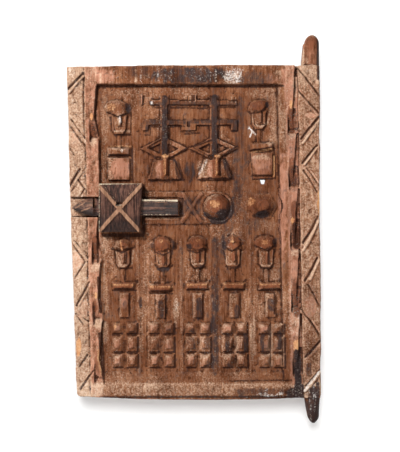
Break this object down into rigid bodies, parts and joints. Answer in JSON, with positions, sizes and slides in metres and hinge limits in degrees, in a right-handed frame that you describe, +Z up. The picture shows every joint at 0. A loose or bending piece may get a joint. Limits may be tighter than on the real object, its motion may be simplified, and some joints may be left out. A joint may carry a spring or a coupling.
{
  "type": "granary door",
  "caption": "Carved wooden granary door that turns on pivot pins cut from its heel edge and closes with a sliding wooden pin lock.",
  "frame": {"origin": "on the pivot axis, where the lower pivot leaves the foot of the plank", "axes": "+X from the free edge towards the heel edge, +Y from the carved face to the back, +Z up along the pivots"},
  "size_m": [0.4563, 0.081, 0.7041],
  "materials": {
    "leaf_wood": "hewn hardwood, worn and dusty",
    "case_wood": "smoke-blackened hardwood",
    "bolt_wood": "handled hardwood, dark and polished",
    "pin_iron": "forged, dull brown",
    "wedge_wood": "split and knife-trimmed"
  },
  "bodies": {
    "leaf": {"door_leaf": "leaf_wood", "lock_case": "case_wood", "chamber_cover": "case_wood", "upper_wedge": "wedge_wood", "lower_wedge": "wedge_wood"},
    "bolt": {"lock_bolt": "bolt_wood"},
    "left_pin": {"tumbler_left": "pin_iron"},
    "middle_pin": {"tumbler_middle": "pin_iron"},
    "right_pin": {"tumbler_right": "pin_iron"}
  },
  "joints": [
    {"name": "bolt_slide", "type": "slide", "parent": "leaf", "child": "bolt", "axis": [-1, 0, 0], "range_m": [-0.005, 0.04]},
    {"name": "left_pin_lift", "type": "slide", "parent": "leaf", "child": "left_pin", "axis": [0, 0, 1], "range_m": [0, 0.003]},
    {"name": "middle_pin_lift", "type": "slide", "parent": "leaf", "child": "middle_pin", "axis": [0, 0, 1], "range_m": [0, 0.003]},
    {"name": "right_pin_lift", "type": "slide", "parent": "leaf", "child": "right_pin", "axis": [0, 0, 1], "range_m": [0, 0.003]}
  ]
}
